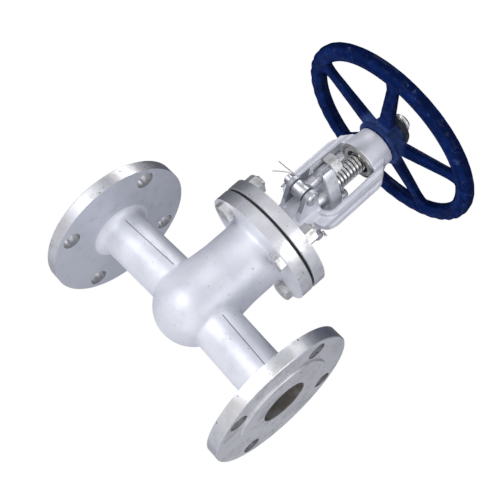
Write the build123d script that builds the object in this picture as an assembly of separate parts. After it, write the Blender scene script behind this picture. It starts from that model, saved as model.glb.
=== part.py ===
from build123d import *
from math import cos, radians, sin, sqrt
import os

# Flanged globe valve with an outside-screw yoke, a rotating stem nut and a handwheel that doesn't rise.
# All sizes are in millimetres. Shapes are drawn about the stem axis, with Z = 0 on the pipe axis.
# On export they move by STEM_X, so the origin is the centre of the inlet flange's raised face:
# +X runs along the flow to the outlet and +Z runs up the stem. The valve is drawn closed.

# Pipe ends
FACE_TO_FACE = 250.0
STEM_X = FACE_TO_FACE / 2
END_FLANGE_R = 76.0
END_FLANGE_T = 13.0
RAISED_FACE_R = 50.0
RAISED_FACE_T = 2.0
PIPE_BOLT_CIRCLE_R = 62.5
PIPE_BOLT_HOLE_R = 9.0
PIPE_BORE_R = 23.0
PIPE_BORE_LENGTH = 20.0
PASSAGE_R = 19.0

# Body casting
BOWL_R = 38.4
BOWL_Z = 1.0
BOWL_WALL = 5.4
BARREL_R = 34.8
BARREL_INNER_R = 29.3
NECK_R = 24.5
NECK_RISE_AT_FLANGE = 1.2
NECK_RISE_AT_BOWL = 4.0
NECK_FLARE = 8.0
BRIDGE_TOP = 15.0
BRIDGE_T = 6.0
SEAT_BORE_R = 18.5
SEAT_Z = 17.0

# Bonnet joint
BONNET_FLANGE_R = 61.4
BODY_FLANGE_BOTTOM = 81.5
BODY_FLANGE_TOP = 95.0
GASKET_T = 2.6
BONNET_FLANGE_TOP = 110.2
BONNET_BOLT_CIRCLE_R = 50.0
BONNET_BOLT_R = 6.0
BONNET_BOLT_HOLE_R = 6.75
BOLT_HEAD_FLATS = 18.0
BOLT_HEAD_T = 7.5
NUT_T = 10.8
BOLT_TIP = 3.0

# Bonnet neck, stuffing box and clevises
STEM_R = 10.0
BOX_OUTER_R = 18.5
BOX_BORE_R = 14.2
BOX_FLOOR = 106.0
BOX_TOP = 151.0
SPIGOT_BOTTOM = 88.0
PACKING_RING_T = 6.0
PACKING_RINGS = 4
WASHER_T = 3.0
PIN_Y = 36.5
PIN_Z = 142.5
PIN_R = 5.0
PIN_CLEARANCE = 0.05
EAR_R = 8.5
EAR_INNER = 7.6
EAR_OUTER = 13.0
EYE_R = 8.4
EYE_HALF_WIDTH = 6.7
SPLIT_PIN_X = 16.5

# Gland
GLAND_BOTTOM = 163.0
GLAND_TOP = 175.5
GLAND_CENTRE_R = 18.0
GLAND_END_R = 11.0
GLAND_BOLT_R = 6.0
GLAND_SLOT_HALF = 6.6
GLAND_BOLT_TOP = 196.5
GLAND_NUT_GAP = 0.1

# Yoke
LEG_INNER_X = 24.5
LEG_OUTER_X = 34.5
LEG_PLATE_T = 4.5
LEG_PLATE_HALF = 10.0
LEG_RIB_HALF = 4.0
FOOT_INNER_R = 10.0
FOOT_OUTER_R = 15.0
FOOT_BOTTOM = 138.0
COLLAR_BOTTOM = 215.0
COLLAR_TOP = 240.0
COLLAR_BOTTOM_R = 22.6
COLLAR_TOP_R = 20.5
COLLAR_BORE_R = 16.0
COUNTERBORE_R = 20.8
COUNTERBORE_TOP = 224.0

# Stem, disc and stem nut
STEM_TOP = 278.5
BUTTON_R = 13.2
BUTTON_BOTTOM = 22.2
BUTTON_TOP = 31.5
BACKSEAT_R = 13.0
BACKSEAT_Z = (60.0, 69.0)
DISC_R = 24.3
DISC_TOP = 42.0
DISC_SOCKET_R = 14.0
NUT_SLEEVE_R = 15.0
NUT_FLANGE_R = 19.5
NUT_THREAD_R = 13.5
HUB_BOTTOM = 241.5
HUB_TOP = 261.0
WHEEL_NUT_TOP = 269.5

# Handwheel
WHEEL_R = 107.5
RIM_HALF_WIDTH = 9.6
RIM_HALF_HEIGHT = 7.0
RIM_Z = 256.5
SPOKES = 5
FIRST_SPOKE_ANGLE = 57.0
HUB_R = 19.0
HUB_RING_R = 25.5
HUB_RING_T = 4.5
KEY_SIZE = 5.0

FIT = 0.05  # radial running clearance between a turning or sliding part and its bore


def disc_z(radius, low, high):
    """A plain cylinder about the stem axis between two heights."""
    return Pos(0, 0, (low + high) / 2) * Cylinder(radius, high - low)


def ring_z(outer, inner, low, high):
    """A plain ring about the stem axis between two heights."""
    return disc_z(outer, low, high) - disc_z(inner, low - 1, high + 1)


def disc_x(radius, x0, x1, y=0.0, z=0.0):
    """A plain cylinder along X between two stations."""
    length = abs(x1 - x0)
    return Pos((x0 + x1) / 2, y, z) * Rot(0, 90, 0) * Cylinder(radius, length)


def block(x0, x1, y0, y1, z0, z1):
    """A box given by its six faces."""
    middle = ((x0 + x1) / 2, (y0 + y1) / 2, (z0 + z1) / 2)
    return Pos(*middle) * Box(x1 - x0, y1 - y0, z1 - z0)


def hex_z(flats, low, high):
    """A hexagonal prism about the stem axis, chamfered at its top corners."""
    prism = Pos(0, 0, low) * extrude(RegularPolygon(flats / 2, 6, major_radius=False), high - low)
    cone_r = flats / 2 * 1.155
    height = high - low
    stand = (Align.CENTER, Align.CENTER, Align.MIN)
    chamfer_cone = Pos(0, 0, low) * Cone(cone_r + height, cone_r - 0.8, height, align=stand)
    return prism & chamfer_cone


def side_profile(outline, half_depth):
    """Extrude a closed outline of the XZ plane to both sides of it."""
    face = Plane.XZ * make_face(outline)
    return extrude(face, half_depth, both=True)


def revolved(outline):
    """Turn a closed outline of the XZ plane about the stem axis."""
    return revolve(Plane.XZ * make_face(outline), Axis.Z)


def both_sides(solid):
    """A solid together with its mirror image across the YZ plane."""
    return solid + mirror(solid, Plane.YZ)


def polar_places(radius, count, first_angle):
    """Points on a circle about the stem axis."""
    angles = [radians(first_angle + 360 / count * i) for i in range(count)]
    return [(radius * cos(a), radius * sin(a)) for a in angles]


# Body

def bowl_outline(radius, top_r, top_z):
    """Half section of a round-bottomed barrel: a spherical bowl that leans in to a straight wall."""
    lean = 5.0
    low = (0, BOWL_Z - radius)
    tangent = (radius * cos(radians(lean)), BOWL_Z + radius * sin(radians(lean)))
    straight_from = tangent[1] + (tangent[0] - top_r) / sin(radians(lean)) * cos(radians(lean))
    arc = CenterArc((0, BOWL_Z), radius, -90, 90 + lean)
    wall = Polyline(tangent, (top_r, straight_from), (top_r, top_z), (0, top_z), low)
    return arc + wall


def neck(side):
    """One pipe neck: a slightly sloping tube that flares into the back of its end flange."""
    start = Pos(side * 20, 0, NECK_RISE_AT_BOWL) * Rot(0, 90, 0) * Circle(NECK_R)
    flange_back = STEM_X - RAISED_FACE_T - END_FLANGE_T
    end = Pos(side * flange_back, 0, NECK_RISE_AT_FLANGE) * Rot(0, 90, 0) * Circle(NECK_R)
    tube = loft([start, end])
    inner = flange_back - NECK_FLARE
    flare_line = Polyline((inner, 0), (inner, NECK_R))
    flare_line += RadiusArc((inner, NECK_R), (flange_back, NECK_R + NECK_FLARE), NECK_FLARE)
    flare_line += Polyline((flange_back, NECK_R + NECK_FLARE), (flange_back, 0), (inner, 0))
    flare = revolve(Plane.XZ * make_face(flare_line), Axis.X)
    flare = Pos(0, 0, NECK_RISE_AT_FLANGE) * flare
    if side < 0:
        flare = mirror(flare, Plane.YZ)
    return tube + flare


def end_flange(side):
    """One end flange with its raised face and four bolt holes."""
    rim_face = side * (STEM_X - RAISED_FACE_T)
    flange = disc_x(END_FLANGE_R, rim_face - side * END_FLANGE_T, rim_face)
    flange += disc_x(RAISED_FACE_R, rim_face, side * STEM_X)
    for y, z in polar_places(PIPE_BOLT_CIRCLE_R, 4, 45):
        flange -= disc_x(PIPE_BOLT_HOLE_R, rim_face - side * (END_FLANGE_T + 5), rim_face + side, y, z)
    return flange


def bridge():
    """The Z-shaped wall across the body, whose flat middle carries the seat."""
    middle = BRIDGE_TOP - BRIDGE_T / 2
    line = Polyline((-40, 26), (-23, middle), (23, middle), (39, -23))
    band = offset(line, BRIDGE_T / 2, side=Side.BOTH)
    return side_profile(band.edges(), 45)


def flow_passages():
    """The hollow of the body: bowl and barrel, with an inlet and an outlet passage."""
    hollow = revolved(bowl_outline(BOWL_R - BOWL_WALL, BARREL_INNER_R, BODY_FLANGE_TOP + 1))
    mouth = STEM_X - PIPE_BORE_LENGTH
    taper_end = mouth - 18
    for side in (-1, 1):
        hollow += disc_x(PIPE_BORE_R, side * mouth, side * (STEM_X + 1))
        taper = loft([
            Pos(side * mouth, 0, 0) * Rot(0, 90, 0) * Circle(PIPE_BORE_R),
            Pos(side * taper_end, 0, 2) * Rot(0, 90, 0) * Circle(PASSAGE_R),
        ])
        hollow += taper
        hollow += disc_x(PASSAGE_R, side * 10, side * taper_end, z=2)
    return hollow - bridge()


def valve_body():
    body = revolved(bowl_outline(BOWL_R, BARREL_R, BODY_FLANGE_TOP))
    body += disc_z(BONNET_FLANGE_R, BODY_FLANGE_BOTTOM, BODY_FLANGE_TOP)
    for side in (-1, 1):
        body += neck(side)
    body = fillet_joint_root(body)
    for side in (-1, 1):
        body += end_flange(side)
    body -= flow_passages()
    body -= disc_z(SEAT_BORE_R + 4, BRIDGE_TOP - BRIDGE_T - 2, BRIDGE_TOP + 1)
    body -= disc_z(SEAT_BORE_R, -10, BRIDGE_TOP + 1)
    for x, y in polar_places(BONNET_BOLT_CIRCLE_R, 4, 45):
        body -= Pos(x, y, 0) * disc_z(BONNET_BOLT_HOLE_R, BODY_FLANGE_BOTTOM - 1, BODY_FLANGE_TOP + 1)
    return body


def fillet_joint_root(body):
    """Round the edges where the barrel meets the flange above it."""
    root = [e for e in body.edges().filter_by(GeomType.CIRCLE)
            if abs(e.radius - BARREL_R) < 0.01 and abs(e.center().Z - BODY_FLANGE_BOTTOM) < 0.01]
    return fillet(root, 3.5)


def seat_ring():
    return ring_z(SEAT_BORE_R + 4, SEAT_BORE_R, BRIDGE_TOP - BRIDGE_T, SEAT_Z)


# Bonnet joint

def bonnet_gasket():
    top = BODY_FLANGE_TOP + GASKET_T
    gasket = ring_z(BONNET_FLANGE_R - 2.2, BARREL_INNER_R, BODY_FLANGE_TOP, top)
    for x, y in polar_places(BONNET_BOLT_CIRCLE_R, 4, 45):
        gasket -= Pos(x, y, 0) * disc_z(BONNET_BOLT_HOLE_R, BODY_FLANGE_TOP - 1, top + 1)
    return gasket


def bonnet_bolt():
    seat = -BODY_FLANGE_BOTTOM
    head = Rot(180, 0, 0) * hex_z(BOLT_HEAD_FLATS, seat, seat + BOLT_HEAD_T)
    return head + disc_z(BONNET_BOLT_R, BODY_FLANGE_BOTTOM - 1, BONNET_FLANGE_TOP + NUT_T + BOLT_TIP)


def bonnet_nut():
    nut = hex_z(BOLT_HEAD_FLATS, BONNET_FLANGE_TOP, BONNET_FLANGE_TOP + NUT_T)
    return nut - disc_z(BONNET_BOLT_R, BONNET_FLANGE_TOP - 1, BONNET_FLANGE_TOP + NUT_T + 1)


def four_around(solid):
    """One copy of a fastener at each bonnet bolt hole, its flats square to the radius."""
    copies = []
    for i, (x, y) in enumerate(polar_places(BONNET_BOLT_CIRCLE_R, 4, 45)):
        copies.append(Pos(x, y, 0) * Rot(0, 0, 45 + 90 * i) * solid)
    return Compound(children=copies)


# Bonnet with yoke

def leg_plate():
    """The wide inner flange of one yoke leg, from its curved foot to the collar."""
    foot = (LEG_INNER_X - FOOT_INNER_R, BOX_TOP + FOOT_INNER_R)
    outer_r = FOOT_INNER_R + LEG_PLATE_T
    outer_x = LEG_INNER_X + LEG_PLATE_T
    line = CenterArc(foot, FOOT_INNER_R, -90, 90)
    line += Polyline((LEG_INNER_X, foot[1]), (22.8, COLLAR_BOTTOM - 2), (19.0, COLLAR_BOTTOM + 4))
    line += Polyline((19.0, COLLAR_BOTTOM + 4), (19.0, 232.0), (22.0, 228.0), (outer_x, 219.5))
    line += Polyline((outer_x, 219.5), (outer_x, foot[1]))
    line += CenterArc(foot, outer_r, -90, 90)
    line += Polyline((foot[0], foot[1] - outer_r), (10, foot[1] - outer_r), (10, BOX_TOP), (foot[0], BOX_TOP))
    return side_profile(line, LEG_PLATE_HALF)


def leg_rib():
    """The narrow outer rib of one yoke leg, with its rounded foot and sloping shoulder."""
    foot = (LEG_OUTER_X - FOOT_OUTER_R, FOOT_BOTTOM + FOOT_OUTER_R)
    back = LEG_INNER_X + LEG_PLATE_T - 1
    line = CenterArc(foot, FOOT_OUTER_R, -90, 90)
    line += Polyline((LEG_OUTER_X, foot[1]), (LEG_OUTER_X, 214.5), (23.0, 227.0), (20.8, 236.0))
    line += Polyline((20.8, 236.0), (18.5, 236.0), (18.5, 221.0), (back, 221.0), (back, 161.0), (20.0, 148.0))
    line += Polyline((20.0, 148.0), (10.0, 148.0), (10.0, FOOT_BOTTOM), (foot[0], FOOT_BOTTOM))
    return side_profile(line, LEG_RIB_HALF)


def collar():
    """The round boss that joins the legs and holds the stem nut."""
    outline = Polyline(
        (0, COLLAR_BOTTOM), (COLLAR_BOTTOM_R, COLLAR_BOTTOM), (COLLAR_TOP_R, COLLAR_TOP), (0, COLLAR_TOP),
        (0, COLLAR_BOTTOM))
    return revolved(outline)


def clevis(side):
    """Two ears that stand out from the bonnet neck and carry one gland bolt's hinge pin."""
    outline = Polyline(
        (0, 150.5), (-PIN_Y, PIN_Z + EAR_R), (-PIN_Y - 5, PIN_Z - 6.9), (-16, 124), (0, 124), (0, 150.5))
    face = make_face(outline) + Pos(-PIN_Y, PIN_Z) * Circle(EAR_R)
    plate = extrude(Plane.YZ * face, EAR_OUTER, both=True)
    ears = plate - block(-EAR_INNER, EAR_INNER, -70, -BOX_OUTER_R, 100, 170)
    ears -= disc_x(PIN_R + PIN_CLEARANCE, -20, 20, -PIN_Y, PIN_Z)
    if side > 0:
        ears = Rot(0, 0, 180) * ears
    return ears


def bonnet_neck():
    """The bonnet flange, its locating spigot and the flared neck up to the stuffing box."""
    low = BODY_FLANGE_TOP + GASKET_T
    flare = 16.0
    foot = BONNET_FLANGE_TOP
    outline = Polyline((0, SPIGOT_BOTTOM), (28.8, SPIGOT_BOTTOM), (28.8, low), (BONNET_FLANGE_R, low))
    outline += Polyline((BONNET_FLANGE_R, low), (BONNET_FLANGE_R, foot), (BOX_OUTER_R + flare, foot))
    outline += CenterArc((BOX_OUTER_R + flare, foot + flare), flare, 180, 90)
    outline += Polyline((BOX_OUTER_R, foot + flare), (BOX_OUTER_R, BOX_TOP), (0, BOX_TOP), (0, SPIGOT_BOTTOM))
    return revolved(outline)


def bonnet_yoke():
    casting = bonnet_neck()
    casting += both_sides(leg_plate() + leg_rib())
    casting += collar()
    casting += clevis(-1)
    casting += clevis(1)
    casting -= disc_z(BOX_BORE_R, BOX_FLOOR, BOX_TOP + 8)
    casting -= disc_z(STEM_R + 0.4, SPIGOT_BOTTOM - 1, BOX_FLOOR + 1)
    casting -= disc_z(16.0, SPIGOT_BOTTOM - 1, SPIGOT_BOTTOM + 6)
    casting -= disc_z(COLLAR_BORE_R, COLLAR_BOTTOM - 5, COLLAR_TOP + 1)
    casting -= disc_z(COUNTERBORE_R, COLLAR_BOTTOM - 5, COUNTERBORE_TOP)
    for x, y in polar_places(BONNET_BOLT_CIRCLE_R, 4, 45):
        casting -= Pos(x, y, 0) * disc_z(BONNET_BOLT_HOLE_R, BODY_FLANGE_TOP, BONNET_FLANGE_TOP + 1)
    return casting


def backseat_bush():
    return ring_z(16.0, STEM_R + 0.1, SPIGOT_BOTTOM, SPIGOT_BOTTOM + 6)


# Stem and disc

def stem():
    shaft = disc_z(STEM_R, BUTTON_BOTTOM, STEM_TOP)
    shaft = chamfer(shaft.edges().sort_by(Axis.Z)[-1], 1.2)
    shaft += disc_z(BUTTON_R, BUTTON_BOTTOM, BUTTON_TOP)
    shaft += disc_z(BACKSEAT_R, BACKSEAT_Z[0], BACKSEAT_Z[1] - 3)
    cone_h = 3.0
    middle = BACKSEAT_Z[1] - cone_h / 2
    return shaft + Pos(0, 0, middle) * Cone(BACKSEAT_R, STEM_R, cone_h)


def valve_disc():
    plug = disc_z(DISC_R, SEAT_Z + FIT, 27.0) + disc_z(19.0, 26.0, DISC_TOP)
    plug -= disc_z(DISC_SOCKET_R, BUTTON_BOTTOM - 0.2, DISC_TOP + 1)
    return plug


def disc_nut():
    nut = disc_z(DISC_SOCKET_R, BUTTON_TOP + 0.2, DISC_TOP) + hex_z(32.0, DISC_TOP, DISC_TOP + 6)
    return nut - disc_z(STEM_R + 0.3, BUTTON_TOP - 1, DISC_TOP + 8)


# Packing and gland

def packing_washer():
    return ring_z(BOX_BORE_R, STEM_R + 0.3, BOX_FLOOR, BOX_FLOOR + WASHER_T)


def packing_ring(index):
    low = BOX_FLOOR + WASHER_T + PACKING_RING_T * index
    return ring_z(BOX_BORE_R, STEM_R + FIT, low, low + PACKING_RING_T)


def gland_bush():
    low = BOX_FLOOR + WASHER_T + PACKING_RING_T * PACKING_RINGS
    return ring_z(BOX_BORE_R - 0.2, STEM_R + 0.3, low, GLAND_BOTTOM)


def gland_flange():
    """An oval plate with an open slot at each end and crowned ends, so that the nuts can swing off."""
    centre = Circle(GLAND_CENTRE_R)
    ends = Pos(0, PIN_Y) * Circle(GLAND_END_R) + Pos(0, -PIN_Y) * Circle(GLAND_END_R)
    plate = extrude(make_hull((centre + ends).edges()), GLAND_TOP - GLAND_BOTTOM)
    plate = Pos(0, 0, GLAND_BOTTOM) * plate
    plate -= disc_z(STEM_R + 0.5, GLAND_BOTTOM - 1, GLAND_TOP + 1)
    crown_r = GLAND_TOP - PIN_Z
    for side in (-1, 1):
        slot = Pos(0, side * PIN_Y, 0) * disc_z(GLAND_SLOT_HALF, GLAND_BOTTOM - 1, GLAND_TOP + 1)
        outer = sorted((side * PIN_Y, side * (PIN_Y + 20)))
        slot += block(-GLAND_SLOT_HALF, GLAND_SLOT_HALF, outer[0], outer[1], GLAND_BOTTOM - 1, GLAND_TOP + 1)
        cap = block(-20, 20, outer[0], outer[1], PIN_Z, GLAND_TOP + 5)
        cap -= disc_x(crown_r, -21, 21, side * PIN_Y, PIN_Z)
        plate -= slot + cap
    return plate


def gland_eyebolt():
    """The front gland bolt: an eye on the hinge pin and a plain shank that ends in a dome."""
    bolt = disc_x(EYE_R, -EYE_HALF_WIDTH, EYE_HALF_WIDTH, -PIN_Y, PIN_Z)
    dome_h = 3.0
    dome_r = (GLAND_BOLT_R ** 2 + dome_h ** 2) / (2 * dome_h)
    shank = disc_z(GLAND_BOLT_R, PIN_Z, GLAND_BOLT_TOP)
    shank &= Pos(0, 0, GLAND_BOLT_TOP - dome_r) * Sphere(dome_r) + disc_z(20, PIN_Z, GLAND_BOLT_TOP - dome_h)
    bolt += Pos(0, -PIN_Y, 0) * shank
    return bolt - disc_x(PIN_R + PIN_CLEARANCE, -20, 20, -PIN_Y, PIN_Z)


def gland_nut():
    low = GLAND_TOP + GLAND_NUT_GAP
    nut = hex_z(BOLT_HEAD_FLATS, low, low + NUT_T) - disc_z(GLAND_BOLT_R, low - 1, low + NUT_T + 1)
    return Pos(0, -PIN_Y, 0) * Rot(0, 0, 20) * nut


def gland_pin():
    """The front hinge pin: a flat head outside one ear and a drilled tip outside the other."""
    pin = disc_x(PIN_R, -SPLIT_PIN_X - 3, EAR_OUTER + 1, -PIN_Y, PIN_Z)
    pin += disc_x(7.0, EAR_OUTER, EAR_OUTER + 2.5, -PIN_Y, PIN_Z)
    drilled = Pos(-SPLIT_PIN_X, -PIN_Y, 0) * disc_z(1.1, PIN_Z - 8, PIN_Z + 8)
    return pin - drilled


def split_pin(leg):
    """A split pin through the hinge pin's tip, with a round eye below and two bent legs above."""
    wire_r = 0.5
    spread = 0.55
    eye_r = 2.4
    x = -SPLIT_PIN_X
    low = PIN_Z - 6.5
    high = PIN_Z + 6.5
    pin = Pos(x, -PIN_Y, low - eye_r) * Rot(0, 90, 0) * Torus(eye_r, wire_r)
    for side in (-1, 1):
        y = -PIN_Y + side * spread
        splay = side * leg * 0.05
        droop = leg * (0.30 + 0.22 * side)
        path = FilletPolyline(
            (x, y, low - wire_r),
            (x, y, high),
            (x - leg * 0.5, y + splay, high - droop * 0.25),
            (x - leg, y + splay * 3, high - droop),
            radius=[1.5, leg * 0.5])
        pin += sweep(Plane((x, y, low - wire_r)) * Circle(wire_r), path)
    return pin


def at_rear(solid):
    """Turn a front gland piece half a turn about the stem axis."""
    return Rot(0, 0, 180) * solid


# Stem nut and handwheel

def stem_nut():
    nut = disc_z(NUT_FLANGE_R, 217.6, 221.9)
    nut += disc_z(NUT_SLEEVE_R, 221.0, HUB_TOP)
    nut += disc_z(NUT_THREAD_R, 260.0, WHEEL_NUT_TOP + 0.8)
    nut -= disc_z(STEM_R + FIT, 210, 275)
    return nut - key_block()


def key_block():
    """The room of the wheel key, half in the stem nut and half in the hub."""
    half = KEY_SIZE / 2
    return block(NUT_SLEEVE_R - half, NUT_SLEEVE_R + half, -half, half, HUB_BOTTOM + 1, HUB_TOP)


def retaining_ring():
    ring = ring_z(COUNTERBORE_R - 0.2, 13.0, 213.0, 217.5)
    for x, y in polar_places(17.0, 2, 90):
        ring -= Pos(x, y, 0) * disc_z(1.5, 212, 216)
    return ring


def thrust_washer():
    return ring_z(COUNTERBORE_R - 0.3, COLLAR_BORE_R, 222.0, COUNTERBORE_TOP)


def wheel_rim():
    """A ring of rounded-square section."""
    middle_r = WHEEL_R - RIM_HALF_WIDTH
    section = Rectangle(RIM_HALF_WIDTH * 2, RIM_HALF_HEIGHT * 2)
    section = fillet(section.vertices(), 5.5)
    return revolve(Plane.XZ * Pos(middle_r, RIM_Z) * section, Axis.Z)


def spoke(angle):
    """A tapered arm that rises from the hub to the rim."""
    inner_r = 12.0
    outer_r = WHEEL_R - RIM_HALF_WIDTH
    root = fillet(Rectangle(17.0, 9.5).vertices(), 4.0)
    tip = fillet(Rectangle(11.5, 7.5).vertices(), 3.2)
    root_plane = Plane((inner_r, 0, 250.5), x_dir=(0, 1, 0), z_dir=(1, 0, 0))
    tip_plane = Plane((outer_r, 0, RIM_Z), x_dir=(0, 1, 0), z_dir=(1, 0, 0))
    return Rot(0, 0, angle) * loft([root_plane * root, tip_plane * tip])


def handwheel():
    wheel = wheel_rim()
    wheel += disc_z(HUB_R, HUB_BOTTOM, HUB_TOP)
    wheel += disc_z(HUB_RING_R, HUB_BOTTOM, HUB_BOTTOM + HUB_RING_T)
    for i in range(SPOKES):
        wheel += spoke(FIRST_SPOKE_ANGLE + 360 / SPOKES * i)
    wheel -= disc_z(NUT_SLEEVE_R, HUB_BOTTOM - 1, HUB_TOP + 1)
    return wheel - key_block()


def wheel_washer():
    return ring_z(18.5, NUT_THREAD_R + 0.3, HUB_TOP, HUB_TOP + 2.2)


def wheel_nut():
    nut = hex_z(32.0, HUB_TOP + 2.2, WHEEL_NUT_TOP)
    return nut - disc_z(NUT_THREAD_R, HUB_TOP, WHEEL_NUT_TOP + 1)


def all_parts():
    parts = {
        "valve_body": valve_body(),
        "seat_ring": seat_ring(),
        "bonnet_gasket": bonnet_gasket(),
        "bonnet_yoke": bonnet_yoke(),
        "backseat_bush": backseat_bush(),
        "bonnet_bolts": four_around(bonnet_bolt()),
        "bonnet_nuts": four_around(bonnet_nut()),
        "stem": stem(),
        "valve_disc": valve_disc(),
        "disc_nut": disc_nut(),
        "packing_washer": packing_washer(),
        "gland_bush": gland_bush(),
        "gland_flange": gland_flange(),
        "gland_eyebolt_front": gland_eyebolt(),
        "gland_eyebolt_rear": at_rear(gland_eyebolt()),
        "gland_nut_front": gland_nut(),
        "gland_nut_rear": at_rear(gland_nut()),
        "gland_pin_front": gland_pin(),
        "gland_pin_rear": at_rear(gland_pin()),
        "split_pin_front": split_pin(20.0),
        "split_pin_rear": at_rear(split_pin(6.0)),
        "stem_nut": stem_nut(),
        "retaining_ring": retaining_ring(),
        "thrust_washer": thrust_washer(),
        "handwheel": handwheel(),
        "wheel_key": key_block(),
        "wheel_washer": wheel_washer(),
        "wheel_nut": wheel_nut(),
    }
    for i in range(PACKING_RINGS):
        parts[f"packing_ring_{i + 1}"] = packing_ring(i)
    return parts


os.makedirs("parts", exist_ok=True)
for name, solid in all_parts().items():
    export_step(Pos(STEM_X, 0, 0) * solid, f"parts/{name}.step")
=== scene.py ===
# %% [markdown]
# # A flanged globe valve in Blender
# The valve was first drawn as exact solids. That model is loaded here as a fixed frame, and every
# piece is built in the same place: the origin is the centre of the inlet flange, +X runs along the
# flow and +Z up the stem. This lesson shows how castings, turned faces, threads and paint are made.

# %% Load the frame
import bpy
import bmesh
from math import asin, atan2, ceil, cos, degrees, pi, radians, sin
from mathutils import Matrix, Vector


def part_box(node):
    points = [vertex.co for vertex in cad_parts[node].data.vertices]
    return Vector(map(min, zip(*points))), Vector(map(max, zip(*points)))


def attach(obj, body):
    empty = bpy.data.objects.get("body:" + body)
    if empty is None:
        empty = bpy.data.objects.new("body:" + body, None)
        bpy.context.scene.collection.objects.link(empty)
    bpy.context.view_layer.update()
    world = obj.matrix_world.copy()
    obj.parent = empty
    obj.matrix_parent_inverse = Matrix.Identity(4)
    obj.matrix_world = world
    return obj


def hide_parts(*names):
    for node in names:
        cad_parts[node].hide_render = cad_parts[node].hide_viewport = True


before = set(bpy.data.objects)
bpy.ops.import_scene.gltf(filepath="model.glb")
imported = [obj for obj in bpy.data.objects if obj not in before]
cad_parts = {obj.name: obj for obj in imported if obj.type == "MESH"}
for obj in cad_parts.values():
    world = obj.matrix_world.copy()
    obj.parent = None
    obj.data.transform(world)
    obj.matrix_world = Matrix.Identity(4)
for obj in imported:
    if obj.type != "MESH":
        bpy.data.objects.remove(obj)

scene = bpy.context.scene
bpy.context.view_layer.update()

# %% [markdown]
# Machine drawings are in millimetres and measured from an axis, so the pieces are drawn in
# millimetres about the stem. One matrix takes a finished mesh to the frame. The place of the stem
# and the reach of the end flanges, the gasket and the wheel are read from the frame. The other sizes
# are typed in to agree with the solids.

# %% Working space in millimetres
low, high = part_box("valve_body")
STEM_X = (low.x + high.x) / 2
TO_FRAME = Matrix.Translation((STEM_X, 0, 0)) @ Matrix.Scale(0.001, 4)
print("stem axis at x =", round(STEM_X, 4))


def reach(node):
    """Outer radius, lowest and highest height of a node about the stem, in millimetres."""
    low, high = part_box(node)
    return (high.y - low.y) * 500, low.z * 1000, high.z * 1000


joint_r, gasket_low, gasket_high = reach("bonnet_gasket")
print("gasket reach", joint_r, gasket_low, gasket_high)
JOINT_BOLT_R = 50  # circle of the bonnet bolts
PIN_Y, PIN_Z = 36.5, 142.5  # hinge pin of a swing bolt
print("bonnet bolts at radius", JOINT_BOLT_R, "and hinge pins at", PIN_Y, PIN_Z)

# %% [markdown]
# ## Camera, floor and light
# A catalogue picture of a metal part is taken with a normal lens in a white surround. The valve
# stands with its stem upright here, and the camera is turned about its own axis, so that the stem
# leans in the frame. Blender keeps a camera's turn as a matrix of three columns: right, up, back.

# %% Camera
camera_data = bpy.data.cameras.new("camera")
camera_data.lens = 62.68
camera_data.sensor_width = 36.0
camera = bpy.data.objects.new("camera", camera_data)
right = Vector((0.663833, 0.120561, 0.738099))
up = Vector((-0.645465, -0.406139, 0.646858))
back = Vector((0.377757, -0.905823, -0.191791))
turn = Matrix((right, up, back)).transposed().to_4x4()
camera.matrix_world = Matrix.Translation((0.431797, -0.747036, -0.082205)) @ turn
scene.collection.objects.link(camera)
scene.camera = camera
print("camera at", [round(v, 3) for v in camera.location])

# %% [markdown]
# Bare steel has no colour of its own: it shows its surroundings. White on all sides would make it
# flat, so the surround that it mirrors is white below and in front and dark above and behind, with
# one grey and one dark band between, which puts light and dark stripes on the rims. The camera sees
# plain white instead. The bands were placed by trial to suit this view, and copy no real room.

# %% Surround
world = bpy.data.worlds.new("studio")
scene.world = world
world.use_nodes = True
studio = world.node_tree
studio.nodes.clear()


def studio_node(kind, **settings):
    """One node of the surround, with its settings."""
    node = studio.nodes.new(kind)
    for key, value in settings.items():
        setattr(node, key, value)
    return node


direction = studio_node("ShaderNodeTexCoord")
tilt = studio_node("ShaderNodeVectorMath", operation="DOT_PRODUCT")
tilt.inputs[1].default_value = Vector((-0.52, 0.50, 0.69)).normalized()
studio.links.new(direction.outputs["Generated"], tilt.inputs[0])
fade = studio_node("ShaderNodeValToRGB")
fade.color_ramp.interpolation = "EASE"
stops = [
    (0.0, (1.0, 1.0, 1.04, 1)), (0.24, (0.94, 0.95, 1.0, 1)), (0.30, (0.42, 0.43, 0.48, 1)),
    (0.36, (0.86, 0.88, 0.95, 1)), (0.50, (0.74, 0.77, 0.86, 1)), (0.60, (0.16, 0.17, 0.20, 1)),
    (0.69, (0.90, 0.91, 0.98, 1)), (0.77, (0.20, 0.21, 0.25, 1)), (1.0, (0.08, 0.09, 0.11, 1))]
while len(fade.color_ramp.elements) < len(stops):
    fade.color_ramp.elements.new(0.5)
for element, (place, colour) in zip(fade.color_ramp.elements, stops):
    element.position = place
    element.color = colour
halve = studio_node("ShaderNodeMath", operation="MULTIPLY_ADD")
halve.inputs[1].default_value = 0.5
halve.inputs[2].default_value = 0.5
studio.links.new(tilt.outputs["Value"], halve.inputs[0])
studio.links.new(halve.outputs[0], fade.inputs[0])
mirrored = studio_node("ShaderNodeBackground")
mirrored.inputs["Strength"].default_value = 0.76
studio.links.new(fade.outputs[0], mirrored.inputs["Color"])
plain = studio_node("ShaderNodeBackground")
plain.inputs["Color"].default_value = (1, 1, 1, 1)
plain.inputs["Strength"].default_value = 1.0
seen = studio_node("ShaderNodeLightPath")
choose = studio_node("ShaderNodeMixShader")
studio.links.new(seen.outputs["Is Camera Ray"], choose.inputs[0])
studio.links.new(mirrored.outputs[0], choose.inputs[1])
studio.links.new(plain.outputs[0], choose.inputs[2])
surround = studio_node("ShaderNodeOutputWorld")
studio.links.new(choose.outputs[0], surround.inputs[0])
scene.view_settings.view_transform = "Standard"

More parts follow.
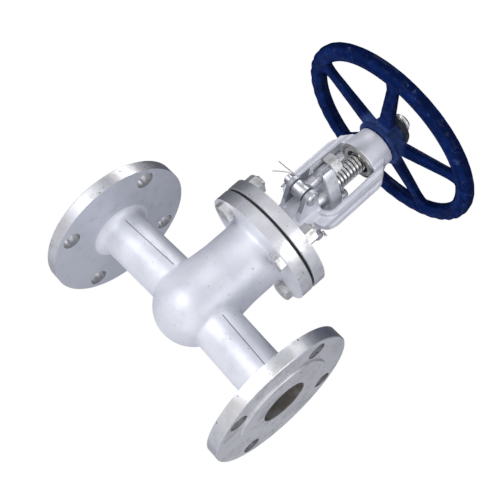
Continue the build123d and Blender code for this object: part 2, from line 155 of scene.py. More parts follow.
# %% [markdown]
# Three square lamps are set by trial too: one low in front, one at the right, one high at the left.
# The floor glows, so that it comes out nearly as pale as the surround. It is left out of mirror rays,
# because a real white floor would light the undersides of the rims more than is wanted here.

# %% Softboxes and floor


def softbox(name, place, size, watts):
    """A large square lamp that faces the middle of the valve."""
    data = bpy.data.lights.new(name, "AREA")
    data.size = size
    data.energy = watts
    lamp = bpy.data.objects.new(name, data)
    lamp.location = place
    lamp.rotation_euler = (Vector((STEM_X, 0, 0.1)) - Vector(place)).to_track_quat("-Z", "Y").to_euler()
    scene.collection.objects.link(lamp)


softbox("key", (-0.15, -1.2, -0.35), 0.8, 5.0)
softbox("side", (1.3, -0.7, 0.35), 0.6, 2.6)
softbox("top", (-0.55, -0.75, 1.15), 0.5, 3.0)
floor_mesh = bpy.data.meshes.new("floor")
sheet = bmesh.new()
bmesh.ops.create_grid(sheet, x_segments=1, y_segments=1, size=30)
bmesh.ops.translate(sheet, verts=sheet.verts, vec=(0, 0, -1.35))
sheet.to_mesh(floor_mesh)
sheet.free()
floor = bpy.data.objects.new("floor", floor_mesh)
scene.collection.objects.link(floor)
floor.visible_glossy = False
paper = bpy.data.materials.new("paper")
paper.use_nodes = True
paper.node_tree.nodes["Principled BSDF"].inputs["Base Color"].default_value = (0.93, 0.93, 0.94, 1)
paper.node_tree.nodes["Principled BSDF"].inputs["Roughness"].default_value = 0.9
paper.node_tree.nodes["Principled BSDF"].inputs["Emission Color"].default_value = (1, 1, 1, 1)
paper.node_tree.nodes["Principled BSDF"].inputs["Emission Strength"].default_value = 0.86
floor_mesh.materials.append(paper)
print("floor at z = -1.35 m")

# %% [markdown]
# ## A small language for finishes
# A finish is a node tree, and a tree is easier to read as a sum. The class below wraps one socket
# and turns +, -, * and ** into Math nodes, so 1 - mask is a node too. Every other node comes from
# one method, node(), which takes the type, its settings and what goes into its sockets.

# %% Sockets as numbers


class Signal:
    """A socket that can be added, multiplied and so on; each step becomes a Math node."""

    def __init__(self, finish, socket):
        self.finish = finish
        self.socket = socket

    def join(self, operation, first, second=0.0):
        return self.finish.node("ShaderNodeMath", {"operation": operation}, {0: first, 1: second})

    def __add__(self, other):
        return self.join("ADD", self, other)

    __radd__ = __add__

    def __sub__(self, other):
        return self.join("SUBTRACT", self, other)

    def __rsub__(self, other):
        return self.join("SUBTRACT", other, self)

    def __mul__(self, other):
        return self.join("MULTIPLY", self, other)

    __rmul__ = __mul__

    def __pow__(self, other):
        return self.join("POWER", self, other)

    def __abs__(self):
        return self.join("ABSOLUTE", self)


class Finish:
    """A material whose nodes are made from expressions."""

    def __init__(self, name, metallic=0.0, roughness=0.5):
        self.material = bpy.data.materials.new(name)
        self.material.use_nodes = True
        self.tree = self.material.node_tree
        self.shader = self.tree.nodes["Principled BSDF"]
        self.set("Metallic", metallic)
        self.set("Roughness", roughness)
        self.place = self.node("ShaderNodeTexCoord", output="Object")
        x, y, z = self.split(self.place)
        self.x, self.y, self.z = (x - STEM_X) * 1000, y * 1000, z * 1000
        self.normal = self.node("ShaderNodeTexCoord", output="Normal")
        self.ny, self.nz = self.split(self.normal)[1:]

    def node(self, kind, settings=None, inputs=None, output=0):
        node = self.tree.nodes.new(kind)
        for key, value in (settings or {}).items():
            if key == "stops":
                self.set_stops(node.color_ramp, value)
            else:
                setattr(node, key, value)
        for key, value in (inputs or {}).items():
            if isinstance(value, Signal):
                self.tree.links.new(value.socket, node.inputs[key])
            else:
                node.inputs[key].default_value = value
        return Signal(self, node.outputs[output])

    def split(self, vector):
        return [self.node("ShaderNodeSeparateXYZ", {}, {0: vector}, output=i) for i in range(3)]

    def set_stops(self, ramp, stops):
        while len(ramp.elements) < len(stops):
            ramp.elements.new(1.0)
        for element, (place, colour) in zip(ramp.elements, stops):
            element.position = place
            element.color = (*colour, 1.0)

    def set(self, name, value):
        """Put a number, a colour or a signal on a socket of the shader."""
        if isinstance(value, Signal):
            self.tree.links.new(value.socket, self.shader.inputs[name])
        elif isinstance(value, tuple):
            self.shader.inputs[name].default_value = (*value, 1.0)
        else:
            self.shader.inputs[name].default_value = value

    def noise(self, size, detail=2.0, rough=0.5, along=None):
        """Soft noise between about 0 and 1 whose lumps are size millimetres across."""
        inputs = {"Scale": 1.0 / size, "Detail": detail, "Roughness": rough, "W": along}
        settings = {"noise_dimensions": "1D"}
        if along is None:
            inputs = {"Scale": 1000.0 / size, "Detail": detail, "Roughness": rough, "Vector": self.place}
            settings = {}
        return self.node("ShaderNodeTexNoise", settings, inputs)

    def step(self, value, low, high):
        """Smoothly from 0 at low to 1 at high."""
        inputs = {"Value": value, "From Min": low, "From Max": high}
        return self.node("ShaderNodeMapRange", {"interpolation_type": "SMOOTHSTEP"}, inputs)

    def blend(self, mask, first, second):
        """The first colour where the mask is 0 and the second where it is 1."""
        inputs = {0: mask}
        for slot, colour in ((6, first), (7, second)):
            inputs[slot] = (*colour, 1.0) if isinstance(colour, tuple) else colour
        return self.node("ShaderNodeMix", {"data_type": "RGBA"}, inputs, output=2)

    def bump(self, height, depth, strength=1.0):
        """Raise and lower the surface by depth millimetres over the height signal."""
        inputs = {"Height": height, "Distance": depth * 0.001, "Strength": strength}
        self.set("Normal", self.node("ShaderNodeBump", {}, inputs))


print("finish language ready")

# %% [markdown]
# ## The cast skin
# The body and the bonnet are cast steel, blasted and sprayed with a thin silver paint. Up close it
# is a fine grain with small pits, a broad cloudiness where the paint is thicker, and on each neck a
# thin dark seam where the two halves of the mould met. Several masks serve two of height, colour
# and gloss.
#
# Other masks read where a point lies and which way its face points, and darken the gap between the
# ears, the ears' outer edges, the groove beside each rib, the inner legs and the backs of the end
# flanges. This is painted shade, to strengthen one view. It stays put when the light moves, so in
# another light it is wrong, and a lamp or a real hollow is the better way where it will do.

# %% Silver paint on a casting


def silver_skin():
    skin = Finish("cast_silver", metallic=0.5)
    cloud = skin.noise(38, detail=3)
    grain = skin.noise(0.9, detail=3, rough=0.6)
    lumps = skin.noise(5.5, detail=2)
    pits = skin.step(skin.noise(3.1, detail=1), 0.71, 0.79)
    flecks = skin.step(skin.noise(2.4, detail=3, rough=0.7), 0.60, 0.76)
    dull = skin.step(skin.noise(15, detail=4, rough=0.65), 0.50, 0.72)
    seam_height = abs(skin.z - 13.4 + abs(skin.x) * 0.06)
    on_neck = skin.step(abs(skin.x), 33, 36) * (1 - skin.step(abs(skin.x), 101, 104))
    seam = (1 - skin.step(seam_height, 0.2, 0.7)) * on_neck
    from_pipe = (skin.y * skin.y + (skin.z - 1.2) * (skin.z - 1.2)) ** 0.5
    flange_back = skin.step(abs(skin.x), 106.0, 108.0) * skin.step(from_pipe, 30.5, 33.0)
    above = skin.step(skin.z, 124, 128)
    between_ears = (1 - skin.step(abs(skin.x), 7.9, 9.4)) * skin.step(abs(skin.y), 20, 24) * above
    beside_rib = skin.step(abs(skin.x), 28.8, 29.8) * (1 - skin.step(abs(skin.x), 31.5, 33.0)) * above
    ear_edge = skin.step(abs(skin.ny) - skin.nz, 0.45, 0.95) * skin.step(abs(skin.y), 24, 27) * above
    inner_leg = (1 - skin.step(abs(skin.x), 24.6, 25.6)) * skin.step(abs(skin.x), 21, 23)
    inner_leg = inner_leg * skin.step(skin.z, 158, 162)
    colour = skin.blend(skin.step(cloud, 0.3, 0.7), (0.68, 0.69, 0.75), (0.82, 0.83, 0.88))
    colour = skin.blend(dull * 0.22, colour, (0.50, 0.52, 0.58))
    colour = skin.blend(flange_back * 0.75, colour, (0.48, 0.495, 0.56))
    colour = skin.blend(flange_back * dull * 0.35, colour, (0.36, 0.37, 0.42))
    colour = skin.blend(between_ears * 0.88, colour, (0.13, 0.135, 0.15))
    colour = skin.blend(ear_edge * 0.7, colour, (0.17, 0.175, 0.20))
    colour = skin.blend(beside_rib * 0.55, colour, (0.34, 0.35, 0.40))
    colour = skin.blend(inner_leg * 0.45, colour, (0.30, 0.315, 0.37))
    colour = skin.blend(flecks * 0.28, colour, (0.42, 0.43, 0.48))
    colour = skin.blend(pits * 0.55, colour, (0.30, 0.31, 0.36))
    colour = skin.blend(seam * 0.9, colour, (0.15, 0.155, 0.18))
    skin.set("Base Color", colour)
    skin.set("Roughness", 0.38 + grain * 0.12 + cloud * 0.06 + dull * 0.05)
    skin.bump(grain * 0.35 + lumps * 1.4 - pits * 1.2 - seam * 1.6, 0.10)
    return skin.material


cast_silver = silver_skin()
print(cast_silver.name)

# %% [markdown]
# ## Turned steel
# A lathe tool leaves rings about the axis of the cut. Rings are noise in one direction only, so the
# noise reads the distance from the axis plus the distance along it, and shows rings on faces and
# on rims alike. Streaks across a rim are noise that reads the angle about the axis, and handling
# marks and dull patches are broader noise laid over them.

# %% Turned faces and rims


def turned_steel(name, about_stem, shade=0.92):
    steel = Finish(name, metallic=1.0)
    across = steel.x if about_stem else steel.z
    along = steel.z if about_stem else steel.x
    from_axis = (across * across + steel.y * steel.y) ** 0.5
    rings = steel.noise(0.35, detail=2, along=from_axis + along)
    broad_rings = steel.noise(2.6, detail=1, along=from_axis + along)
    stain = steel.step(steel.noise(17, detail=5, rough=0.65), 0.48, 0.70)
    warm = steel.step(steel.noise(26, detail=4, rough=0.6), 0.52, 0.72)
    nicks = steel.step(steel.noise(3.4, detail=2), 0.68, 0.74)
    freckles = steel.step(steel.noise(1.3, detail=3, rough=0.7), 0.54, 0.72)
    angle = steel.node("ShaderNodeMath", {"operation": "ARCTAN2"}, {0: steel.y, 1: across})
    streaks = steel.step(steel.noise(1.3, detail=3, rough=0.7, along=angle * 62), 0.50, 0.72)
    light, dull = (shade, shade, shade * 1.02), (shade * 0.66, shade * 0.65, shade * 0.66)
    colour = steel.blend(stain * 0.6, light, dull)
    smear = (shade * 0.40, shade * 0.385, shade * 0.37)
    colour = steel.blend(streaks * (0.10 + stain * 0.40), colour, smear)
    colour = steel.blend(warm * 0.35, colour, (shade * 0.62, shade * 0.58, shade * 0.53))
    colour = steel.blend(freckles * (0.08 + stain * 0.3), colour, (0.30, 0.285, 0.28))
    colour = steel.blend(nicks * 0.7, colour, (0.10, 0.09, 0.09))
    steel.set("Base Color", colour)
    steel.set("Roughness", 0.30 + stain * 0.14 + rings * 0.12 + freckles * 0.05)
    steel.bump(rings * 0.5 + broad_rings * 0.5 - nicks * 1.5, 0.03)
    return steel.material


flange_steel = turned_steel("turned_flange", about_stem=False)
joint_steel = turned_steel("turned_joint", about_stem=True)
bored_steel = turned_steel("bored_steel", about_stem=True, shade=0.62)
print(flange_steel.name, joint_steel.name, bored_steel.name)

# %% [markdown]
# ## Fastener, gland and dark finishes
# Nuts and bolts are made as zinc plate, a little smoother than the flanges and with dull patches.
# The gland flange is a paler steel, and its eye bolts, bush and pins are darker forged steel. The
# retaining ring is plain steel, and the wheel nut and washer are oiled black. The same function makes
# all of them from a few numbers. A thin band of the same black inside the ring is painted shade: it
# stands for the shadow in the gap round the stem.

# %% Plain metal finishes


def worn_metal(name, light, dark, roughness, patch=7.0, depth=0.02, grain=0.5, metallic=1.0):
    metal = Finish(name, metallic=metallic)
    patches = metal.step(metal.noise(patch, detail=4, rough=0.6), 0.42, 0.72)
    fine = metal.noise(grain, detail=2)
    metal.set("Base Color", metal.blend(patches, light, dark))
    metal.set("Roughness", roughness + patches * 0.14 + fine * 0.08)
    metal.bump(fine + patches * 0.6, depth)
    return metal.material


bright_zinc = worn_metal(
    "bright_zinc", (0.76, 0.76, 0.76), (0.44, 0.43, 0.41), 0.24, depth=0.005, grain=1.2, metallic=0.8)
gland_steel = worn_metal(
    "gland_steel", (0.86, 0.87, 0.91), (0.60, 0.61, 0.65), 0.36, patch=9, depth=0.04, metallic=0.55)
# Oiled black for the wheel nut and washer; inside the retaining ring the same black is painted shade.
oiled_black_and_gap_shade = worn_metal("oiled_black_and_gap_shade", (0.045, 0.05, 0.065), (0.018, 0.02, 0.027), 0.34)
forged_steel = worn_metal("forged_steel", (0.70, 0.70, 0.73), (0.34, 0.34, 0.37), 0.32, patch=6, depth=0.02)
ring_steel = worn_metal("ring_steel", (0.60, 0.59, 0.56), (0.40, 0.39, 0.36), 0.30, depth=0.008)
wire_steel = worn_metal("wire_steel", (0.50, 0.50, 0.51), (0.30, 0.30, 0.31), 0.3)
bronze = worn_metal("bronze", (0.62, 0.42, 0.20), (0.40, 0.25, 0.11), 0.32)
seat_alloy = worn_metal("seat_alloy", (0.58, 0.57, 0.55), (0.45, 0.44, 0.42), 0.22)
print("plain metals ready")

# %% Rough passage


def passage_skin():
    """The inside of the body: bare cast steel, brown-grey and grainy."""
    skin = Finish("passage_skin", metallic=0.7)
    grain = skin.noise(1.1, detail=3, rough=0.65)
    patch = skin.noise(9, detail=3)
    patch = skin.step(patch, 0.35, 0.7)
    skin.set("Base Color", skin.blend(patch, (0.20, 0.18, 0.165), (0.34, 0.325, 0.31)))
    skin.set("Roughness", 0.45 + grain * 0.2)
    skin.bump(grain, 0.25)
    return skin.material


passage = passage_skin()

# %% [markdown]
# ## Handwheel enamel
# The wheel is dipped in thick navy enamel, which sags, so its gloss is uneven. It is scuffed to a
# paler blue, most of all at the outer edge of the rim. A thin clear coat over a rough base gives
# wet glints, and slow bumps break them up. The sides of the rim and arms are darkened by a mask,
# which is painted shade, and the hub is made paler by another, which is a painted highlight. Both
# suit one view and are wrong in another light.

# %% Navy enamel


def navy_enamel():
    paint = Finish("navy_enamel")
    sag = paint.noise(8, detail=3, rough=0.55)
    peel = paint.noise(1.8, detail=2)
    mottled = paint.step(paint.noise(15, detail=4, rough=0.6), 0.40, 0.75)
    from_stem = (paint.x * paint.x + paint.y * paint.y) ** 0.5
    outer = paint.step(from_stem, 98, 105)
    # Painted highlight: round the hub the enamel is paler, and glossier where it is wet.
    hub = 1 - paint.step(from_stem, 24, 34)
    wet = paint.step(paint.noise(5, detail=4, rough=0.7), 0.50, 0.68)
    scuffs = paint.step(paint.noise(6.5, detail=5, rough=0.7), 0.58, 0.74) * (0.3 + outer * 0.7)
    # Painted shade: where the face is upright, on the sides of the rim and arms, the enamel is darker.
    flank_shade = 1 - paint.step(abs(paint.nz), 0.20, 0.65)
    colour = paint.blend(mottled, (0.0018, 0.0080, 0.052), (0.0036, 0.0165, 0.100))
    colour = paint.blend(flank_shade * 0.6, colour, (0.0006, 0.0026, 0.016))
    colour = paint.blend(hub * (0.25 + mottled * 0.6), colour, (0.050, 0.090, 0.27))
    colour = paint.blend(scuffs * 0.6, colour, (0.070, 0.105, 0.24))
    paint.set("Base Color", colour)
    paint.set("Roughness", 0.42 + scuffs * 0.2)
    paint.set("Specular IOR Level", 0.0)
    paint.set("Coat Weight", 0.06 + wet * (0.16 + hub * 0.25))
    paint.set("Coat Roughness", 0.06)
    paint.bump(sag * 1.2 + peel * 0.25, 0.25)
    return paint.material


enamel = navy_enamel()
print(enamel.name)

# %% [markdown]
# ## Gasket, packing and thread steel
# The joint is sealed by black graphite sheet. The packing is a braid of graphite yarn: two families
# of slanting strands, which are the sums and differences of height and angle. The stem's thread is
# dark in its valleys and bright on its crests, so its colour follows the distance from the stem's axis.

# %% Seals and stem


def graphite_sheet():
    sheet = Finish("graphite_sheet", roughness=0.75)
    fibre = sheet.noise(0.7, detail=3)
    sheet.set("Base Color", sheet.blend(fibre, (0.006, 0.006, 0.007), (0.030, 0.030, 0.032)))
    sheet.set("Roughness", 0.6 + fibre * 0.3)
    sheet.bump(fibre, 0.12)
    return sheet.material


def graphite_braid():
    braid = Finish("graphite_braid", roughness=0.6)
    angle = braid.node("ShaderNodeMath", {"operation": "ARCTAN2"}, {0: braid.y, 1: braid.x})
    left = braid.node("ShaderNodeMath", {"operation": "SINE"}, {0: angle * 36 + braid.z * 3.1})
    right = braid.node("ShaderNodeMath", {"operation": "SINE"}, {0: angle * 36 - braid.z * 3.1})
    strands = left.join("MAXIMUM", left, right) * 0.5 + 0.5
    braid.set("Base Color", braid.blend(strands, (0.015, 0.015, 0.017), (0.09, 0.09, 0.095)))
    braid.set("Roughness", 0.7 - strands * 0.25)
    braid.bump(strands, 0.35)
    return braid.material


def thread_steel():
    steel = Finish("thread_steel", metallic=1.0)
    from_axis = (steel.x * steel.x + steel.y * steel.y) ** 0.5
    crest = steel.step(from_axis, 8.1, 9.0)
    rub = steel.noise(3, detail=3)
    steel.set("Base Color", steel.blend(crest, (0.20, 0.195, 0.19), (0.92, 0.92, 0.90)))
    steel.set("Roughness", 0.42 - crest * 0.14 + rub * 0.1)
    steel.bump(steel.noise(0.4, detail=2), 0.015)
    return steel.material


gasket_black = graphite_sheet()
packing_braid = graphite_braid()
stem_steel = thread_steel()
print("seals and stem ready")

# %% [markdown]
# ## Shaping helpers
# Nearly everything on a valve is turned, so the main tool is a lathe: half an outline is spun about
# an axis with bmesh's spin operator. Flat shapes are a face pushed through by extrude, and rods are
# cones with equal ends. Each helper adds a closed shell to a bmesh, with its own finish number.

# %% Lathe, plate and rod


def absorb(bm, shell, finish=0, matrix=Matrix.Identity(4)):
    """Place a finished shell, give its faces their finish number and add it to a bmesh."""
    bmesh.ops.transform(shell, matrix=matrix, verts=shell.verts)
    bmesh.ops.remove_doubles(shell, verts=shell.verts, dist=1e-4)
    bmesh.ops.recalc_face_normals(shell, faces=shell.faces)
    for face in shell.faces:
        face.material_index = finish
    mesh = bpy.data.meshes.new("shell")
    shell.to_mesh(mesh)
    shell.free()
    bm.from_mesh(mesh)
    bpy.data.meshes.remove(mesh)


def lathe(bm, outline, axis="Z", steps=96, finish=0, centre=(0, 0, 0), closed=False):
    """Spin a half outline of (radius, height) points about an axis."""
    shell = bmesh.new()
    points = [shell.verts.new((r, 0, h)) for r, h in outline]
    pairs = list(zip(points, points[1:] + points[:1]))
    edges = [shell.edges.new(pair) for pair in (pairs if closed else pairs[:-1])]
    bmesh.ops.spin(
        shell, geom=points + edges, cent=(0, 0, 0), axis=(0, 0, 1), angle=2 * pi, steps=steps,
        use_merge=True)
    turn = Matrix.Rotation(pi / 2, 4, "Y") if axis == "X" else Matrix.Identity(4)
    absorb(bm, shell, finish, Matrix.Translation(centre) @ turn)


def plate(bm, outline, low, high, across="Y", finish=0):
    """Push a flat outline through from low to high across the named axis."""
    shell = bmesh.new()
    lays = {"X": lambda u, v: (low, u, v), "Y": lambda u, v: (u, low, v), "Z": lambda u, v: (u, v, low)}
    lay = lays[across]
    face = shell.faces.new([shell.verts.new(lay(u, v)) for u, v in outline])
    pushed = bmesh.ops.extrude_face_region(shell, geom=[face])
    moved = [v for v in pushed["geom"] if isinstance(v, bmesh.types.BMVert)]
    step = {"X": (high - low, 0, 0), "Y": (0, high - low, 0), "Z": (0, 0, high - low)}[across]
    bmesh.ops.translate(shell, verts=moved, vec=step)
    absorb(bm, shell, finish)


def rod(bm, start, end, r1, r2=None, segments=48, finish=0):
    """A round bar between two points, tapered if a second radius is given."""
    shell = bmesh.new()
    line = Vector(end) - Vector(start)
    middle = (Vector(start) + Vector(end)) / 2
    place = Matrix.Translation(middle) @ line.to_track_quat("Z", "Y").to_matrix().to_4x4()
    r2 = r1 if r2 is None else r2
    bmesh.ops.create_cone(
        shell, cap_ends=True, segments=segments, radius1=r1, radius2=r2, depth=line.length)
    absorb(bm, shell, finish, place)


def arc(centre, radius, first, last, count):
    """Points of an arc, for an outline, between two angles in degrees."""
    angles = [radians(first + (last - first) * i / count) for i in range(count + 1)]
    return [(centre[0] + radius * cos(a), centre[1] + radius * sin(a)) for a in angles]


def around(radius, count, first):
    """Places on a circle about the stem."""
    angles = [radians(first + 360 / count * i) for i in range(count)]
    return [(radius * cos(a), radius * sin(a)) for a in angles]


print("shaping helpers ready")

# %% [markdown]
# Modifiers do the heavy work, and their result is kept as a plain mesh, so that nothing is left to
# work out when the piece moves. bake() evaluates the stack and swaps the mesh. finish_piece() moves
# the mesh to the frame, smooths it up to a given crease angle and ties it to the body it moves with.

# %% Objects, modifiers and finishing


def rough_piece(name, bm, finishes):
    """An object in millimetre space that still has work to be done."""
    bmesh.ops.recalc_face_normals(bm, faces=bm.faces)
    mesh = bpy.data.meshes.new(name)
    bm.to_mesh(mesh)
    bm.free()
    for finish in finishes:
        mesh.materials.append(finish)
    piece = bpy.data.objects.new(name, mesh)
    scene.collection.objects.link(piece)
    return piece


def bake(piece):
    """Keep what the modifiers make as the piece's own mesh."""
    evaluated = piece.evaluated_get(bpy.context.evaluated_depsgraph_get())
    made = bpy.data.meshes.new_from_object(evaluated)
    piece.modifiers.clear()
    old, piece.data = piece.data, made
    bpy.data.meshes.remove(old)


def modify(piece, kind, **settings):
    """Run one modifier and keep its result."""
    modifier = piece.modifiers.new(kind, kind)
    for key, value in settings.items():
        setattr(modifier, key, value)
    bake(piece)


def carve(piece, tool_bm, finish, operation="DIFFERENCE"):
    """Cut with a tool whose finish stays on the faces that it leaves."""
    tool = rough_piece("tool", tool_bm, [finish])
    modify(piece, "BOOLEAN", object=tool, operation=operation, solver="MANIFOLD", material_mode="TRANSFER")
    bpy.data.objects.remove(tool)


def melt(piece, grain, passes):
    """Join overlapping shells into one skin and round its corners, as moulding sand does."""
    modify(piece, "REMESH", mode="VOXEL", voxel_size=grain)
    modify(piece, "SMOOTH", factor=0.5, iterations=passes)


def soften(piece, width=0.35, segments=2, angle=35):
    """A small bevel on the sharp edges, which is what catches the light."""
    modify(piece, "BEVEL", width=width, segments=segments, limit_method="ANGLE", angle_limit=radians(angle))


def finish_piece(piece, body, stands_for, crease=32):
    """Move a piece to the frame, tie it to its body and hide the nodes it stands for."""
    piece.data.transform(TO_FRAME)
    piece.data.shade_smooth()
    piece.data.set_sharp_from_angle(angle=radians(crease))
    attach(piece, body)
    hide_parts(*stands_for)
    triangles = sum(len(p.vertices) - 2 for p in piece.data.polygons)
    print(f"{piece.name}: {triangles} triangles")
    return piece


print("finishing helpers ready")

# %% [markdown]
# ## The body casting
# A pattern maker builds the body from simple solids: a round-bottomed barrel, two necks, and three
# discs. The overlapping shells are melted into one skin, which rounds every inner corner. The
# discs are left oversize, because the lathe takes them down to size afterwards.

# %% Body pattern
flange_r = reach("valve_body")[0]
BOWL_R, BOWL_Z, BARREL_R, NECK_R = 38.4, 1.0, 34.8, 24.5
LEAN = 5.0
body_bm = bmesh.new()
bowl = [(max(r, 0.0), z) for r, z in arc((0, BOWL_Z), BOWL_R, -90, LEAN, 26)]
bowl += [(BARREL_R + 0.1, 46.0), (BARREL_R, 77.6)]
bowl += arc((BARREL_R + 4, 77.6), 4.0, 180, 90, 4) + [(BARREL_R, 84), (0, 84)]
lathe(body_bm, bowl)
joint_disc_r = 61.4
lathe(body_bm, [(0, 81.5), (joint_disc_r + 2, 81.5), (joint_disc_r + 2, 97), (0, 97)])
for side in (-1, 1):
    rod(body_bm, (side * 12, 0, 4.2), (side * 111, 0, 1.2), NECK_R, segments=96)
    flare = [(0, 101), (NECK_R, 101)]
    flare += [(r, x) for x, r in arc((102, NECK_R + 8), 8, -90, 0, 6)] + [(0, 111)]
    lathe(body_bm, [(r, side * x) for r, x in flare], axis="X", centre=(0, 0, 1.2))
    disc = [(0, 110), (flange_r + 2, 110), (flange_r + 2, 126), (0, 126)]
    lathe(body_bm, [(r, side * x) for r, x in disc], axis="X")
body = rough_piece("body_casting", body_bm, [cast_silver])
melt(body, 1.25, 7)
print("body skin", len(body.data.polygons), "faces")

# %% [markdown]
# ## Machining the body
# The flanges are turned about the pipe axis and the joint face about the stem. Keeping only what
# lies inside a spun envelope does what the lathe does, and the new faces carry the turned finish.
# Then the passages are hollowed out, round the slanting bridge that carries the seat.

# %% Turn the end flanges and the joint face
lathe_x = bmesh.new()
edge = [(49.2, 125), (50, 124.2), (50, 123), (75.2, 123), (flange_r, 122.2), (flange_r, 108.4)]
edge += [(150, 108.4)]
half = [(r, -x) for r, x in edge]
lathe(lathe_x, [(0, -125)] + half + [(r, x) for r, x in reversed(edge)] + [(0, 125)], axis="X", steps=160)
carve(body, lathe_x, flange_steel, "INTERSECT")
lathe_z = bmesh.new()
cut = [(0, -90), (200, -90), (200, 79.4), (61.4, 79.4), (61.4, 94.3), (60.7, 95), (0, 95)]
lathe(lathe_z, cut, steps=144)
carve(body, lathe_z, joint_steel, "INTERSECT")
print("turned body", len(body.data.polygons), "faces")

# %% Hollow the body
hollow_bm = bmesh.new()
inner = [(max(r, 0.0), z) for r, z in arc((0, BOWL_Z), BOWL_R - 5.4, -90, LEAN, 20)]
lathe(hollow_bm, inner + [(29.3, 46), (29.3, 100), (0, 100)], steps=72)
hollow = rough_piece("hollow", hollow_bm, [passage])
passages = bmesh.new()
for side in (-1, 1):
    port = [(0, 8), (18.5, 8), (19, 87), (23, 105), (23, 124.4), (23.8, 125.2), (23.8, 127), (0, 127)]
    lathe(passages, [(r, side * x) for r, x in port], axis="X", steps=72)
carve(hollow, passages, passage, "UNION")
bridge_bm = bmesh.new()
bridge_line = [(-42, 31), (-24, 15), (24, 15), (42, -23), (36, -23), (21, 9), (-25, 9), (-46, 27)]
plate(bridge_bm, bridge_line, -45, 45, "Y")
carve(hollow, bridge_bm, passage)
seat_bm = bmesh.new()
lathe(seat_bm, [(0, -10), (18.5, -10), (18.5, 9), (22.5, 9), (22.5, 16), (0, 16)], steps=72)
carve(hollow, seat_bm, bored_steel, "UNION")
modify(body, "BOOLEAN", object=hollow, operation="DIFFERENCE", solver="MANIFOLD", material_mode="TRANSFER")
bpy.data.objects.remove(hollow)
print("hollowed body", len(body.data.polygons), "faces")

# %% Drill the body
drills = bmesh.new()
for y, z in around(62.5, 4, 45):
    for side in (-1, 1):
        rod(drills, (side * 106, y, z), (side * 127, y, z), 9.0)
for x, y in around(JOINT_BOLT_R, 4, 45):
    rod(drills, (x, y, 78), (x, y, 98), 6.75)
carve(body, drills, bored_steel)
body = finish_piece(body, "root", ["valve_body"])

# %% [markdown]
# ## Bonnet and yoke
# The bonnet carries the stuffing box, two pairs of ears for the swing bolts, and the two legs that
# hold the collar over it. Each leg is a T in section: a wide plate inside and a narrow rib outside.
# Both follow nearly the same curve, so their side views are extruded and melted like the body.

# %% Bonnet pattern
bonnet_bm = bmesh.new()
neck = [(0, 97), (joint_disc_r + 2, 97), (joint_disc_r + 2, 110.2), (34.5, 110.2)]
neck += arc((34.5, 126.2), 16, -90, -180, 8) + [(18.5, 151), (0, 151)]
lathe(bonnet_bm, neck)
lathe(bonnet_bm, [(0, 86), (30.5, 86), (30.5, 98), (0, 98)])
lathe(bonnet_bm, [(0, 215), (22.6, 215), (20.6, 242), (0, 242)])
for side in (-1, 1):
    leg = arc((14.5, 161), 10, -90, 0, 8)
    leg += [(22.8, 213), (19.0, 219), (17.0, 232), (21.8, 228.5), (29.0, 219)]
    leg += arc((14.5, 161), 14.5, 0, -90, 8) + [(8, 146.5), (8, 151)]
    plate(bonnet_bm, [(side * x, z) for x, z in leg], -10, 10, "Y")
    rib = arc((19.5, 153), 15, -90, 0, 8)
    rib += [(34.5, 208), (33.7, 212.5), (31.2, 216.8), (27.4, 221), (23.9, 225.6), (21.6, 230.5)]
    rib += [(20.8, 236), (16, 236), (16, 221), (28, 215), (28, 161), (20, 148), (8, 148), (8, 138)]
    plate(bonnet_bm, [(side * x, z) for x, z in rib], -4, 4, "Y")
    ear = [(0, 150.5), (PIN_Y, 151.0)]
    ear += arc((PIN_Y, PIN_Z), 8.5, 90, -54, 10) + [(16, 124), (0, 124)]
    for low_x, high_x in ((-13.1, -7.5), (7.5, 13.1)):
        plate(bonnet_bm, [(side * y, z) for y, z in ear], low_x, high_x, "X")
bonnet = rough_piece("bonnet_casting", bonnet_bm, [cast_silver])
melt(bonnet, 0.8, 3)
print("bonnet skin", len(bonnet.data.polygons), "faces")

# %% Machine the bonnet
envelope = bmesh.new()
line = [(0, 88), (28, 88), (28.8, 88.8), (28.8, 97.6), (60.7, 97.6), (61.4, 98.3), (61.4, 111.5)]
line += [(110, 111.5), (110, 240), (0, 240)]
lathe(envelope, line, steps=144)
carve(bonnet, envelope, joint_steel, "INTERSECT")
bores = bmesh.new()
stuffing_box = [(0, 86), (16, 86), (16, 94), (10.4, 94), (10.4, 106), (14.2, 106), (14.2, 150.2)]
stuffing_box += [(15.2, 151.2), (15.2, 158), (0, 158)]
lathe(bores, stuffing_box, steps=72)
collar = [(0, 209), (20.8, 209), (20.8, 224), (16, 224), (16, 239.2), (17, 240.2), (17, 243), (0, 243)]
lathe(bores, collar, steps=96)
for x, y in around(JOINT_BOLT_R, 4, 45):
    rod(bores, (x, y, 94), (x, y, 113), 6.75)
for side in (-1, 1):
    rod(bores, (-17, side * PIN_Y, PIN_Z), (17, side * PIN_Y, PIN_Z), 5.05)
carve(bonnet, bores, bored_steel)
bonnet = finish_piece(bonnet, "root", ["bonnet_yoke"])

# %% [markdown]
# ## Hexagons and threads
# A nut is a hexagonal bar whose corners are turned off at a slant, so its flats end in small arcs.
# The bar is cut by a spun barrel shape to get those arcs. A thread is one pitch of its profile, spun
# with a rise per step; bisect_plane trims both ends, and the holes are filled.

# %% Hexagon blank and thread


